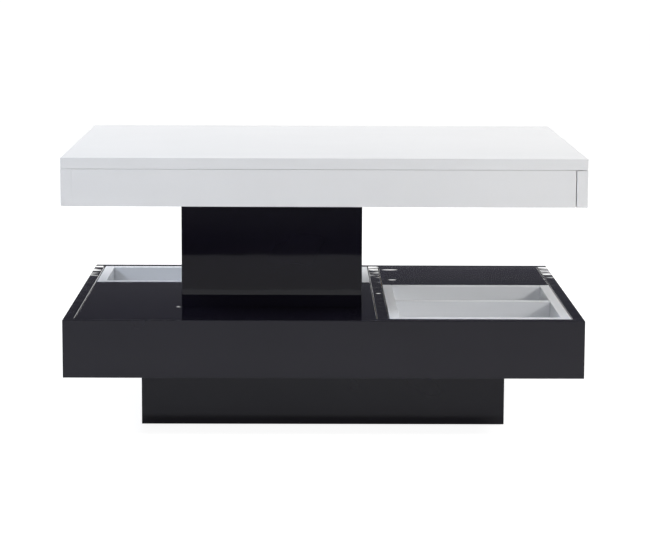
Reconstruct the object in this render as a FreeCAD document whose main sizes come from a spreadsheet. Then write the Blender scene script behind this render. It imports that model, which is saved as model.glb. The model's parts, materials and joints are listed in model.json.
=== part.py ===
"""Swivel coffee table: a gloss base with two lift-out trays, a hollow column and a turning top.

Millimetres. The origin lies on the floor under the middle of the table, +X runs to the right
along the length, +Y to the back and +Z up. The white top turns about the middle of the column,
on a fitting of two steel plates with a caged ring of rollers between them.
"""
import FreeCAD, Part
import os
import re

import Sketcher
from FreeCAD import Placement, Rotation, Vector

# ---------------------------------------------------------------------------
# Driving dimensions, one spreadsheet cell each
# ---------------------------------------------------------------------------
SIZES = {
    # overall
    "table_length": 800,
    "table_depth": 600,
    "table_height": 436,
    "board": 17,                   # 16 mm board with its lacquer
    "arris": 0.5,                  # eased edge of every board
    # plinth
    "pad_thickness": 2,
    "pad_side": 30,
    "plinth_top": 97.5,            # height of the base's underside above the floor
    "plinth_inset": 113,
    "corner_block": 40,
    # base
    "base_height": 90,
    "bay_divider_x": 91,           # middle of the divider, right of the origin
    "left_deck_depth": 374,
    "right_tray_depth": 348.5,
    "fit_gap": 1.5,                # round each tray and deck
    "cleat": 18,
    # trays
    "tray_wall": 16,
    "tray_panel": 4,
    "tray_groove_depth": 6,
    "tray_groove_height": 8,
    "tray_divider": 13,
    "tray_front_cell": 156,        # clear depth in front of the right tray's divider
    # column
    "column_width": 284.5,
    "column_depth": 243.5,
    "column_side_margin": 21.75,   # from the column to the edge of the left bay
    "column_back_margin": 21,      # from the column to the back edge of its deck
    "column_bolt_inset": 62,
    # swivel fitting
    "plate_side": 200,
    "plate_corner": 12,
    "plate_thickness": 2.5,
    "plate_hole_inset": 17,
    "roller_diameter": 4.4,
    "roller_length": 12,
    "roller_count": 12,
    "roller_play": 0.3,            # to each plate and to the cage
    "roller_ring_radius": 72,      # to the middle of the rollers
    "cage_thickness": 3,
    "cage_width": 22,
    "pivot_diameter": 12,
    "pivot_head_diameter": 20,
    "pivot_head_thickness": 2.5,
    "pivot_play": 0.1,
    "pivot_head_room": 1,
    # top
    "top_height": 74,
    "rib_spread": 300,
    # fixings
    "tongue_length": 50,
    "tongue_thickness": 4,
    "tongue_width": 22,
    "tongue_in_face": 9,           # how deep a tongue goes into the face of a board
    "tongue_inset": 85,            # from a corner of the table or plinth
    "column_tongue_inset": 45,     # from the column's foot or head
    "screw_diameter": 4,
    "screw_length": 16,            # under the head
    "screw_head_diameter": 8.5,
    "screw_head_height": 1.8,
    "screw_clearance": 0.15,
    "bolt_diameter": 8,
    "bolt_length": 100,
    "bolt_head_across_flats": 13,
    "bolt_head_height": 5,
    "bolt_clearance": 0.5,
}

doc = FreeCAD.newDocument("swivel_coffee_table")
sheet = doc.addObject("Spreadsheet::Sheet", "sizes")
for row, (alias, size) in enumerate(SIZES.items(), start=1):
    sheet.set(f"A{row}", alias)
    sheet.set(f"B{row}", str(size))
    sheet.setAlias(f"B{row}", alias)
doc.recompute()

# ---------------------------------------------------------------------------
# Levels and faces that several pieces share, as formulas of those cells
# ---------------------------------------------------------------------------
HALF_LENGTH = "(table_length / 2)"
HALF_DEPTH = "(table_depth / 2)"
INNER_X = "(table_length / 2 - board)"                 # inner face of a side panel
INNER_Y = "(table_depth / 2 - board)"                  # inner face of a front or back panel

PLINTH_X = "(table_length / 2 - plinth_inset)"         # outer faces of the plinth
PLINTH_Y = "(table_depth / 2 - plinth_inset)"

FLOOR_Z = "(plinth_top + board)"                       # upper face of the base's bottom board
DECK_TOP = "(plinth_top + base_height)"
DECK_UNDERSIDE = f"({DECK_TOP} - board)"
CARCASS_HEIGHT = f"({DECK_UNDERSIDE} - {FLOOR_Z})"     # clear height below a deck

DIVIDER_LEFT = "(bay_divider_x - board / 2)"
DIVIDER_RIGHT = "(bay_divider_x + board / 2)"
LEFT_DECK_BACK = f"(fit_gap + left_deck_depth - {INNER_Y})"
RIGHT_TRAY_BACK = f"(fit_gap + right_tray_depth - {INNER_Y})"
RIGHT_DECK_FRONT = f"({RIGHT_TRAY_BACK} + fit_gap)"

COLUMN_RIGHT = f"({DIVIDER_LEFT} - column_side_margin)"
COLUMN_LEFT = f"({COLUMN_RIGHT} - column_width)"
COLUMN_BACK = f"({LEFT_DECK_BACK} - column_back_margin)"
COLUMN_FRONT = f"({COLUMN_BACK} - column_depth)"
SWIVEL_HEIGHT = "(2 * plate_thickness + roller_diameter + 2 * roller_play)"
TOP_UNDERSIDE = "(table_height - top_height)"
SLAB_UNDERSIDE = "(table_height - board)"
COLUMN_TOP = f"({TOP_UNDERSIDE} - {SWIVEL_HEIGHT})"
SWIVEL_X = f"({COLUMN_RIGHT} - column_width / 2)"
SWIVEL_Y = f"({COLUMN_BACK} - column_depth / 2)"


# ---------------------------------------------------------------------------
# Helpers: formulas, sketches and features
# ---------------------------------------------------------------------------
def cells(formula):
    """The formula with every cell's name written as the expression engine wants it."""
    return re.sub(r"[a-z_]+(?![a-z_(])", lambda word: "sizes." + word.group(), formula)


def number(formula):
    """What the formula comes to now, for drawing a sketch close to its solution."""
    return float(sheet.evalExpression(cells(formula)))


def bind(thing, prop, formula):
    """Tie one property of an object to the spreadsheet."""
    thing.setExpression(prop, cells(formula))


def new_body(label, corner=("0", "0", "0"), upside_down=False):
    """An empty body whose origin lies at the given place, turned over about X if wanted."""
    body = doc.addObject("PartDesign::Body", label)
    body.AllowCompound = True
    if upside_down:
        body.Placement = Placement(Vector(), Rotation(Vector(1, 0, 0), 180))
    for axis, formula in zip("xyz", corner):
        bind(body, f"Placement.Base.{axis}", formula)
    return body


def origin_part(body, role):
    """One of the planes or axes of a body's own origin."""
    return next(part for part in body.Origin.OriginFeatures if part.Role == role)


def sketch_on(body, name, role="XY_Plane", offset="0"):
    """A sketch on one of the body's own planes, moved along the plane's normal."""
    sketch = body.newObject("Sketcher::SketchObject", name)
    sketch.AttachmentSupport = (origin_part(body, role), [""])
    sketch.MapMode = "FlatFace"
    bind(sketch, "AttachmentOffset.Base.z", offset)
    return sketch


def hold(sketch, kind, formula, *places):
    """One dimension of a sketch, tied to its formula."""
    constraint = Sketcher.Constraint(kind, *places, number(formula))
    index = sketch.addConstraint(constraint)
    bind(sketch, f"Constraints[{index}]", formula)


def pin(sketch, curve, point, place):
    """Hold a point of a curve (1 start, 2 end, 3 centre) at its place from the sketch's origin."""
    hold(sketch, "DistanceX", place[0], -1, 1, curve, point)
    hold(sketch, "DistanceY", place[1], -1, 1, curve, point)


def draw_circle(sketch, centre, diameter):
    middle = Vector(number(centre[0]), number(centre[1]), 0)
    curve = sketch.addGeometry(Part.Circle(middle, Vector(0, 0, 1), number(diameter) / 2), False)
    pin(sketch, curve, 3, centre)
    hold(sketch, "Diameter", diameter, curve)


def draw_rectangle(sketch, low, high):
    """A rectangle between two opposite corners."""
    x0, y0 = (number(formula) for formula in low)
    x1, y1 = (number(formula) for formula in high)
    corners = [Vector(x0, y0, 0), Vector(x1, y0, 0), Vector(x1, y1, 0), Vector(x0, y1, 0)]
    sides = []
    for start, end in zip(corners, corners[1:] + corners[:1]):
        sides.append(sketch.addGeometry(Part.LineSegment(start, end), False))
    for side, following in zip(sides, sides[1:] + sides[:1]):
        sketch.addConstraint(Sketcher.Constraint("Coincident", side, 2, following, 1))
    for side in sides[0::2]:
        sketch.addConstraint(Sketcher.Constraint("Horizontal", side))
    for side in sides[1::2]:
        sketch.addConstraint(Sketcher.Constraint("Vertical", side))
    pin(sketch, sides[0], 1, low)
    pin(sketch, sides[2], 1, high)


def draw_outline(sketch, points):
    """A closed outline of straight lines through the points."""
    places = [Vector(number(x), number(y), 0) for x, y in points]
    lines = []
    for start, end in zip(places, places[1:] + places[:1]):
        lines.append(sketch.addGeometry(Part.LineSegment(start, end), False))
    for line, following in zip(lines, lines[1:] + lines[:1]):
        sketch.addConstraint(Sketcher.Constraint("Coincident", line, 2, following, 1))
    for line, place in zip(lines, points):
        pin(sketch, line, 1, place)


def draw_hexagon(sketch, centre, across_flats):
    """A regular hexagon with two sides along X."""
    x, y = centre
    half = f"({across_flats} / 2)"
    side = f"({across_flats} / sqrt(3))"
    draw_outline(sketch, [
        (f"({x} + {side})", y), (f"({x} + {side} / 2)", f"({y} + {half})"),
        (f"({x} - {side} / 2)", f"({y} + {half})"), (f"({x} - {side})", y),
        (f"({x} - {side} / 2)", f"({y} - {half})"), (f"({x} + {side} / 2)", f"({y} - {half})"),
    ])


def pad(body, sketch, length):
    feature = body.newObject("PartDesign::Pad", f"{sketch.Name}_pad")
    feature.Profile = sketch
    bind(feature, "Length", length)
    return feature


def pocket(body, sketch, depth, along_normal=False):
    """Cut the sketch into the body, against the sketch's normal unless told otherwise."""
    feature = body.newObject("PartDesign::Pocket", f"{sketch.Name}_pocket")
    feature.Profile = sketch
    feature.Reversed = along_normal
    bind(feature, "Length", depth)
    return feature


def ring_of(body, feature, count):
    """Repeat a feature evenly round the body's own Z axis."""
    pattern = body.newObject("PartDesign::PolarPattern", f"{feature.Name}_ring")
    pattern.Originals = [feature]
    pattern.Axis = (origin_part(body, "Z_Axis"), [""])
    pattern.Angle = 360
    bind(pattern, "Occurrences", count)
    body.Tip = pattern


# ---------------------------------------------------------------------------
# Boards and the cuts in their faces
# ---------------------------------------------------------------------------
pieces = {}      # label: (body, low corner, size)

# Each face of a board: its plane, how far along the plane's normal it lies, as a sign and the
# axis of the size that it takes, and whether a cut runs along the normal
FACES = {
    "bottom": ("XY_Plane", None, True),
    "top": ("XY_Plane", ("", "z"), False),
    "front": ("XZ_Plane", None, False),
    "back": ("XZ_Plane", ("-", "y"), True),
    "left": ("YZ_Plane", None, True),
    "right": ("YZ_Plane", ("", "x"), False),
}
FLAT_AXES = {"XY_Plane": "xy", "XZ_Plane": "xz", "YZ_Plane": "yz"}


def ease(body, base):
    """Break every edge of the boards made so far."""
    doc.recompute()
    feature = body.newObject("PartDesign::Chamfer", f"{body.Name}_arris")
    feature.Base = (base, ["Edge1"])
    feature.UseAllEdges = True
    bind(feature, "Size", "arris")


def board(label, low, high):
    """One board between two opposite corners, given in table coordinates."""
    body = new_body(label, low)
    size = {axis: f"({far} - {near})" for axis, near, far in zip("xyz", low, high)}
    outline = sketch_on(body, f"{label}_outline")
    draw_rectangle(outline, ("0", "0"), (size["x"], size["y"]))
    ease(body, pad(body, outline, size["z"]))
    pieces[label] = (body, dict(zip("xyz", low)), size)


def strips(label, plans, level, height):
    """Several boards of one height in one node, each drawn in plan by its two corners."""
    body = new_body(label, ("0", "0", level))
    outline = sketch_on(body, f"{label}_outline")
    for low, high in plans:
        draw_rectangle(outline, low, high)
    ease(body, pad(body, outline, height))


def cut_sketch(label, face):
    """A sketch on a face of a board, and how to turn table coordinates into the sketch's own."""
    body, low, size = pieces[label]
    role, moved, along_normal = FACES[face]
    offset = "0" if moved is None else moved[0] + size[moved[1]]
    sketch = sketch_on(body, f"{label}_{face}_cut", role, offset)

    def local(place):
        return tuple(f"({formula} - {low[axis]})" for formula, axis in zip(place, FLAT_AXES[role]))
    return body, sketch, along_normal, local


def drill(label, face, places, diameter, depth):
    """Round holes into a face of a board, their places given in table coordinates."""
    body, sketch, along_normal, local = cut_sketch(label, face)
    for place in places:
        draw_circle(sketch, local(place), diameter)
    pocket(body, sketch, depth, along_normal)


def groove(label, face, plans, depth):
    """Straight grooves into a face of a board, each between two corners in table coordinates."""
    body, sketch, along_normal, local = cut_sketch(label, face)
    for low, high in plans:
        draw_rectangle(sketch, local(low), local(high))
    pocket(body, sketch, depth, along_normal)


# ---------------------------------------------------------------------------
# Loose tongues: flat strips glued half into the face of one board, half into the edge of another
# ---------------------------------------------------------------------------
TONGUE_IN_EDGE = "(tongue_width - tongue_in_face)"


def tongue(middle, lies_along):
    """The outline of a tongue seen end on, as two corners; it lies along the first or second axis."""
    reaches = ["(tongue_length / 2)", "(tongue_thickness / 2)"]
    if lies_along == "second":
        reaches.reverse()
    low = tuple(f"({place} - {reach})" for place, reach in zip(middle, reaches))
    high = tuple(f"({place} + {reach})" for place, reach in zip(middle, reaches))
    return low, high


def add_tongues(body, name, role, start, plans):
    """Tongues that stand on a plane of the table, from the start distance on."""
    sketch = sketch_on(body, name, role, start)
    for low, high in plans:
        draw_rectangle(sketch, low, high)
    pad(body, sketch, "tongue_width")


def four_ways(x, y):
    """The four places that mirror one another about both middle planes, front pair first."""
    return [(f"{across}{x}", f"{along}{y}") for along in ("-", "") for across in ("-", "")]


def around(x, y, half_x, half_y):
    """The four places round a middle, half a pitch away each way."""
    return [(f"({x} {across} {half_x})", f"({y} {along} {half_y})")
            for along in "-+" for across in "-+"]


def upright_tongues(half_x, half_y):
    """Eight tongues under the rim of a box, by the side whose upper edge each one stands in."""
    on_front_and_back = four_ways(f"({half_x} - tongue_inset)", f"({half_y} - board / 2)")
    on_sides = four_ways(f"({half_x} - board / 2)", f"({half_y} - tongue_inset)")
    along_x = [tongue(place, "first") for place in on_front_and_back]
    along_y = [tongue(place, "second") for place in on_sides]
    return {"front": along_x[:2], "back": along_x[2:], "left": along_y[0::2], "right": along_y[1::2]}


# ---------------------------------------------------------------------------
# Plinth
# ---------------------------------------------------------------------------
PLINTH_INNER_X = f"({PLINTH_X} - board)"
PLINTH_INNER_Y = f"({PLINTH_Y} - board)"

board("plinth_front", (f"-{PLINTH_X}", f"-{PLINTH_Y}", "pad_thickness"),
      (PLINTH_X, f"-{PLINTH_INNER_Y}", "plinth_top"))
board("plinth_back", (f"-{PLINTH_X}", PLINTH_INNER_Y, "pad_thickness"),
      (PLINTH_X, PLINTH_Y, "plinth_top"))
board("plinth_left", (f"-{PLINTH_X}", f"-{PLINTH_INNER_Y}", "pad_thickness"),
      (f"-{PLINTH_INNER_X}", PLINTH_INNER_Y, "plinth_top"))
board("plinth_right", (PLINTH_INNER_X, f"-{PLINTH_INNER_Y}", "pad_thickness"),
      (PLINTH_X, PLINTH_INNER_Y, "plinth_top"))
# The cross rail stands right under the bay divider
board("plinth_cross_rail", (DIVIDER_LEFT, f"-{PLINTH_INNER_Y}", "pad_thickness"),
      (DIVIDER_RIGHT, PLINTH_INNER_Y, "plinth_top"))

block_plans = []
for across in ("-", ""):
    for along in ("-", ""):
        outer = (f"{across}{PLINTH_INNER_X}", f"{along}{PLINTH_INNER_Y}")
        inner = (f"{across}({PLINTH_INNER_X} - corner_block)",
                 f"{along}({PLINTH_INNER_Y} - corner_block)")
        block_plans.append((outer, inner))
strips("plinth_corner_blocks", block_plans, "pad_thickness", "corner_block")

pads = new_body("floor_pads")
pad_plan = sketch_on(pads, "pad_plan")
for x, y in four_ways(f"({PLINTH_INNER_X} - corner_block / 2)",
                      f"({PLINTH_INNER_Y} - corner_block / 2)"):
    draw_rectangle(pad_plan, (f"({x} - pad_side / 2)", f"({y} - pad_side / 2)"),
                   (f"({x} + pad_side / 2)", f"({y} + pad_side / 2)"))
pad(pads, pad_plan, "pad_thickness")

# Upright tongues hold the plinth to the base's bottom board
PLINTH_TONGUES = upright_tongues(PLINTH_X, PLINTH_Y)
for side, plans in PLINTH_TONGUES.items():
    groove(f"plinth_{side}", "top", plans, TONGUE_IN_EDGE)
plinth_tongues = new_body("plinth_tongues")
add_tongues(plinth_tongues, "plinth_tongue_plan", "XY_Plane", f"(plinth_top - {TONGUE_IN_EDGE})",
            sum(PLINTH_TONGUES.values(), []))

# ---------------------------------------------------------------------------
# Base box
# ---------------------------------------------------------------------------
board("base_bottom", (f"-{INNER_X}", f"-{INNER_Y}", "plinth_top"), (INNER_X, INNER_Y, FLOOR_Z))
board("base_front", (f"-{HALF_LENGTH}", f"-{HALF_DEPTH}", "plinth_top"),
      (HALF_LENGTH, f"-{INNER_Y}", DECK_TOP))
board("base_back", (f"-{HALF_LENGTH}", INNER_Y, "plinth_top"),
      (HALF_LENGTH, HALF_DEPTH, DECK_TOP))
board("base_left", (f"-{HALF_LENGTH}", f"-{INNER_Y}", "plinth_top"),
      (f"-{INNER_X}", INNER_Y, DECK_TOP))
board("base_right", (INNER_X, f"-{INNER_Y}", "plinth_top"), (HALF_LENGTH, INNER_Y, DECK_TOP))
board("bay_divider", (DIVIDER_LEFT, f"-{INNER_Y}", FLOOR_Z), (DIVIDER_RIGHT, INNER_Y, DECK_TOP))

board("front_left_deck", (f"(fit_gap - {INNER_X})", f"(fit_gap - {INNER_Y})", DECK_UNDERSIDE),
      (f"({DIVIDER_LEFT} - fit_gap)", LEFT_DECK_BACK, DECK_TOP))
board("left_deck_rail", (f"-{INNER_X}", f"({LEFT_DECK_BACK} - board)", FLOOR_Z),
      (DIVIDER_LEFT, LEFT_DECK_BACK, DECK_UNDERSIDE))
board("rear_right_deck", (f"({DIVIDER_RIGHT} + fit_gap)", RIGHT_DECK_FRONT, DECK_UNDERSIDE),
      (f"({INNER_X} - fit_gap)", f"({INNER_Y} - fit_gap)", DECK_TOP))
board("right_deck_rail", (DIVIDER_RIGHT, RIGHT_DECK_FRONT, FLOOR_Z),
      (INNER_X, f"({RIGHT_DECK_FRONT} + board)", DECK_UNDERSIDE))

# Two bearers take the column's side panels down to the bottom board
LEFT_BEARER = (COLUMN_LEFT, f"({COLUMN_LEFT} + board)")
RIGHT_BEARER = (f"({COLUMN_RIGHT} - board)", COLUMN_RIGHT)
LEFT_RAIL_FRONT = f"({LEFT_DECK_BACK} - board)"
RIGHT_RAIL_BACK = f"({RIGHT_DECK_FRONT} + board)"
strips("column_bearers",
       [((near, f"-{INNER_Y}"), (far, LEFT_RAIL_FRONT)) for near, far in (LEFT_BEARER, RIGHT_BEARER)],
       FLOOR_Z, CARCASS_HEIGHT)

CLEAT_LEVEL = f"({DECK_UNDERSIDE} - cleat)"
strips("left_deck_cleats", [
    ((f"-{INNER_X}", f"-{INNER_Y}"), (f"(cleat - {INNER_X})", LEFT_RAIL_FRONT)),
    ((LEFT_BEARER[1], f"-{INNER_Y}"), (RIGHT_BEARER[0], f"(cleat - {INNER_Y})")),
    ((f"({DIVIDER_LEFT} - cleat)", f"-{INNER_Y}"), (DIVIDER_LEFT, LEFT_RAIL_FRONT)),
], CLEAT_LEVEL, "cleat")
strips("right_deck_cleats", [
    ((DIVIDER_RIGHT, RIGHT_RAIL_BACK), (f"({DIVIDER_RIGHT} + cleat)", INNER_Y)),
    ((f"({INNER_X} - cleat)", RIGHT_RAIL_BACK), (INNER_X, INNER_Y)),
], CLEAT_LEVEL, "cleat")

groove("base_bottom", "bottom", sum(PLINTH_TONGUES.values(), []), "tongue_in_face")

# Lying tongues hold the front and back panels to the side panels and the divider
CORNER_X = f"({HALF_LENGTH} - board / 2)"
BASE_TONGUES = {
    "base_left": tongue((f"-{CORNER_X}", "(plinth_top + base_height / 2)"), "second"),
    "bay_divider": tongue(("bay_divider_x", f"(({FLOOR_Z} + {DECK_TOP}) / 2)"), "second"),
    "base_right": tongue((CORNER_X, "(plinth_top + base_height / 2)"), "second"),
}
groove("base_front", "back", BASE_TONGUES.values(), "tongue_in_face")
groove("base_back", "front", BASE_TONGUES.values(), "tongue_in_face")
for label, plan in BASE_TONGUES.items():
    groove(label, "front", [plan], TONGUE_IN_EDGE)
    groove(label, "back", [plan], TONGUE_IN_EDGE)
base_tongues = new_body("base_tongues")
add_tongues(base_tongues, "base_front_tongues", "XZ_Plane", f"({INNER_Y} - {TONGUE_IN_EDGE})",
            BASE_TONGUES.values())
add_tongues(base_tongues, "base_back_tongues", "XZ_Plane", f"-({INNER_Y} + tongue_in_face)",
            BASE_TONGUES.values())

# ---------------------------------------------------------------------------
# Column
# ---------------------------------------------------------------------------
COLUMN_INNER_FRONT = f"({COLUMN_FRONT} + board)"
COLUMN_INNER_BACK = f"({COLUMN_BACK} - board)"
COLUMN_INNER_LEFT = f"({COLUMN_LEFT} + board)"
COLUMN_INNER_RIGHT = f"({COLUMN_RIGHT} - board)"

board("column_front", (COLUMN_LEFT, COLUMN_FRONT, DECK_TOP),
      (COLUMN_RIGHT, COLUMN_INNER_FRONT, COLUMN_TOP))
board("column_back", (COLUMN_LEFT, COLUMN_INNER_BACK, DECK_TOP),
      (COLUMN_RIGHT, COLUMN_BACK, COLUMN_TOP))
board("column_left", (COLUMN_LEFT, COLUMN_INNER_FRONT, DECK_TOP),
      (COLUMN_INNER_LEFT, COLUMN_INNER_BACK, COLUMN_TOP))
board("column_right", (COLUMN_INNER_RIGHT, COLUMN_INNER_FRONT, DECK_TOP),
      (COLUMN_RIGHT, COLUMN_INNER_BACK, COLUMN_TOP))
board("column_foot", (COLUMN_INNER_LEFT, COLUMN_INNER_FRONT, DECK_TOP),
      (COLUMN_INNER_RIGHT, COLUMN_INNER_BACK, f"({DECK_TOP} + board)"))
board("column_head", (COLUMN_INNER_LEFT, COLUMN_INNER_FRONT, f"({COLUMN_TOP} - board)"),
      (COLUMN_INNER_RIGHT, COLUMN_INNER_BACK, COLUMN_TOP))

COLUMN_TONGUES = [[tongue((x, z), "second")
                   for z in (f"({DECK_TOP} + column_tongue_inset)",
                             f"({COLUMN_TOP} - column_tongue_inset)")]
                  for x in (f"({COLUMN_LEFT} + board / 2)", f"({COLUMN_RIGHT} - board / 2)")]
groove("column_front", "back", sum(COLUMN_TONGUES, []), "tongue_in_face")
groove("column_back", "front", sum(COLUMN_TONGUES, []), "tongue_in_face")
for label, plans in zip(("column_left", "column_right"), COLUMN_TONGUES):
    groove(label, "front", plans, TONGUE_IN_EDGE)
    groove(label, "back", plans, TONGUE_IN_EDGE)
column_tongues = new_body("column_tongues")
add_tongues(column_tongues, "column_front_tongues", "XZ_Plane",
            f"-({COLUMN_INNER_FRONT} + {TONGUE_IN_EDGE})", sum(COLUMN_TONGUES, []))
add_tongues(column_tongues, "column_back_tongues", "XZ_Plane",
            f"-({COLUMN_INNER_BACK} + tongue_in_face)", sum(COLUMN_TONGUES, []))

# Four long bolts clamp the bottom board, the deck and the column's foot together
BOLT_REACH = ("(column_width / 2 - column_bolt_inset)", "(column_depth / 2 - column_bolt_inset)")
BOLT_PLACES = around(SWIVEL_X, SWIVEL_Y, *BOLT_REACH)
BOLT_HOLE = "(bolt_diameter + 2 * bolt_clearance)"
for label in ("base_bottom", "front_left_deck"):
    drill(label, "bottom", BOLT_PLACES, BOLT_HOLE, "board")
bolts = new_body("column_bolts", ("0", "0", "plinth_top"))
bolt_heads = sketch_on(bolts, "bolt_heads", offset="-bolt_head_height")
bolt_shanks = sketch_on(bolts, "bolt_shanks")
for place in BOLT_PLACES:
    draw_hexagon(bolt_heads, place, "bolt_head_across_flats")
    draw_circle(bolt_shanks, place, "bolt_diameter")
pad(bolts, bolt_heads, "bolt_head_height")
pad(bolts, bolt_shanks, "bolt_length")

# ---------------------------------------------------------------------------
# Trays: four walls grooved for a thin panel
# ---------------------------------------------------------------------------
TRAY_PANEL_LOW = f"({FLOOR_Z} + tray_groove_height)"
TRAY_PANEL_HIGH = f"({TRAY_PANEL_LOW} + tray_panel)"


def tray(side, low, high):
    """One lift-out tray between two corners in plan; the side walls run through."""
    (x0, y0), (x1, y1) = low, high
    inner_x0, inner_x1 = f"({x0} + tray_wall)", f"({x1} - tray_wall)"
    inner_y0, inner_y1 = f"({y0} + tray_wall)", f"({y1} - tray_wall)"
    groove_x0, groove_x1 = f"({inner_x0} - tray_groove_depth)", f"({inner_x1} + tray_groove_depth)"
    groove_y0, groove_y1 = f"({inner_y0} - tray_groove_depth)", f"({inner_y1} + tray_groove_depth)"
    board(f"{side}_tray_left", (x0, y0, FLOOR_Z), (inner_x0, y1, DECK_TOP))
    board(f"{side}_tray_right", (inner_x1, y0, FLOOR_Z), (x1, y1, DECK_TOP))
    board(f"{side}_tray_front", (inner_x0, y0, FLOOR_Z), (inner_x1, inner_y0, DECK_TOP))
    board(f"{side}_tray_back", (inner_x0, inner_y1, FLOOR_Z), (inner_x1, y1, DECK_TOP))
    for wall, face in (("left", "right"), ("right", "left")):
        plan = ((groove_y0, TRAY_PANEL_LOW), (groove_y1, TRAY_PANEL_HIGH))
        groove(f"{side}_tray_{wall}", face, [plan], "tray_groove_depth")
    for wall, face in (("front", "back"), ("back", "front")):
        plan = ((inner_x0, TRAY_PANEL_LOW), (inner_x1, TRAY_PANEL_HIGH))
        groove(f"{side}_tray_{wall}", face, [plan], "tray_groove_depth")
    panel = new_body(f"{side}_tray_bottom", ("0", "0", TRAY_PANEL_LOW))
    outline = sketch_on(panel, f"{side}_tray_bottom_outline")
    draw_rectangle(outline, (groove_x0, groove_y0), (groove_x1, groove_y1))
    pad(panel, outline, "tray_panel")
    return inner_x0, inner_x1, inner_y0, inner_y1


tray("left", (f"(fit_gap - {INNER_X})", f"({LEFT_DECK_BACK} + fit_gap)"),
     (f"({DIVIDER_LEFT} - fit_gap)", f"({INNER_Y} - fit_gap)"))
right_inside = tray("right", (f"({DIVIDER_RIGHT} + fit_gap)", f"(fit_gap - {INNER_Y})"),
                    (f"({INNER_X} - fit_gap)", RIGHT_TRAY_BACK))
TRAY_DIVIDER_FRONT = f"({right_inside[2]} + tray_front_cell)"
board("right_tray_divider", (right_inside[0], TRAY_DIVIDER_FRONT, TRAY_PANEL_HIGH),
      (right_inside[1], f"({TRAY_DIVIDER_FRONT} + tray_divider)", DECK_TOP))

# ---------------------------------------------------------------------------
# Swivel fitting: two steel plates that turn on a caged ring of rollers round a pivot pin
# ---------------------------------------------------------------------------
SCREW_REACH = "(plate_side / 2 - plate_hole_inset)"
SCREW_PLACES = four_ways(SCREW_REACH, SCREW_REACH)
ROLLER_LEVEL = f"({COLUMN_TOP} + {SWIVEL_HEIGHT} / 2)"
ROLLER_START = "(roller_ring_radius - roller_length / 2)"


def upright_edges(shape):
    """The names of a shape's straight edges that stand along Z."""
    names = []
    for index, edge in enumerate(shape.Edges, start=1):
        along = edge.lastVertex().Point - edge.firstVertex().Point
        if along.cross(Vector(0, 0, 1)).Length < edge.Tolerance:
            names.append(f"Edge{index}")
    return names


def swivel_plate(label, level, pivot_hole):
    """A square steel plate with round corners, four screw holes and a hole for the pivot pin."""
    body = new_body(label, (SWIVEL_X, SWIVEL_Y, level))
    square = sketch_on(body, f"{label}_square")
    draw_rectangle(square, ("-plate_side / 2", "-plate_side / 2"), ("plate_side / 2", "plate_side / 2"))
    flat = pad(body, square, "plate_thickness")
    doc.recompute()
    corners = body.newObject("PartDesign::Fillet", f"{label}_corners")
    corners.Base = (flat, upright_edges(flat.Shape))
    bind(corners, "Radius", "plate_corner")
    holes = sketch_on(body, f"{label}_holes")
    draw_circle(holes, ("0", "0"), pivot_hole)
    for place in SCREW_PLACES:
        draw_circle(holes, place, "(screw_diameter + 2 * screw_clearance)")
    pocket(body, holes, "plate_thickness", along_normal=True)


def screws(label, level, upside_down=False):
    """Four wood screws whose heads hang below the given level, or stand on it when turned over."""
    body = new_body(label, (SWIVEL_X, SWIVEL_Y, level), upside_down)
    heads = sketch_on(body, f"{label}_heads", offset="-screw_head_height")
    shanks = sketch_on(body, f"{label}_shanks")
    for place in SCREW_PLACES:
        draw_circle(heads, place, "screw_head_diameter")
        draw_circle(shanks, place, "screw_diameter")
    pad(body, heads, "screw_head_height")
    pad(body, shanks, "screw_length")


swivel_plate("swivel_lower_plate", COLUMN_TOP, "(pivot_diameter + 2 * pivot_play)")
swivel_plate("swivel_upper_plate", f"({TOP_UNDERSIDE} - plate_thickness)", "pivot_diameter")
screws("swivel_lower_screws", f"({COLUMN_TOP} + plate_thickness)", upside_down=True)
screws("swivel_upper_screws", f"({TOP_UNDERSIDE} - plate_thickness)")

# The pin is pressed into the upper plate; its head runs free in a recess of the column's head
pivot = new_body("swivel_pivot", (SWIVEL_X, SWIVEL_Y, COLUMN_TOP))
pivot_head = sketch_on(pivot, "pivot_head", offset="-(pivot_play + pivot_head_thickness)")
draw_circle(pivot_head, ("0", "0"), "pivot_head_diameter")
pad(pivot, pivot_head, "pivot_head_thickness")
pivot_shank = sketch_on(pivot, "pivot_shank", offset="-pivot_play")
draw_circle(pivot_shank, ("0", "0"), "pivot_diameter")
pad(pivot, pivot_shank, f"({SWIVEL_HEIGHT} + pivot_play)")
drill("column_head", "top", [(SWIVEL_X, SWIVEL_Y)], "(pivot_head_diameter + 2 * pivot_head_room)",
      "(pivot_play + pivot_head_thickness + pivot_head_room)")

# The cage: a flat ring with a window for each roller
cage = new_body("roller_cage", (SWIVEL_X, SWIVEL_Y, f"({ROLLER_LEVEL} - cage_thickness / 2)"))
cage_ring = sketch_on(cage, "cage_ring")
draw_circle(cage_ring, ("0", "0"), "(2 * roller_ring_radius + cage_width)")
draw_circle(cage_ring, ("0", "0"), "(2 * roller_ring_radius - cage_width)")
pad(cage, cage_ring, "cage_thickness")
window = sketch_on(cage, "cage_window")
draw_rectangle(window, (f"({ROLLER_START} - roller_play)", "-(roller_diameter / 2 + roller_play)"),
               (f"({ROLLER_START} + roller_length + roller_play)", "(roller_diameter / 2 + roller_play)"))
ring_of(cage, pocket(cage, window, "cage_thickness", along_normal=True), "roller_count")

# The rollers: each lies along its own radius
rollers = new_body("rollers", (SWIVEL_X, SWIVEL_Y, ROLLER_LEVEL))
roller_end = sketch_on(rollers, "roller_end", "YZ_Plane", ROLLER_START)
draw_circle(roller_end, ("0", "0"), "roller_diameter")
ring_of(rollers, pad(rollers, roller_end, "roller_length"), "roller_count")

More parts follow.
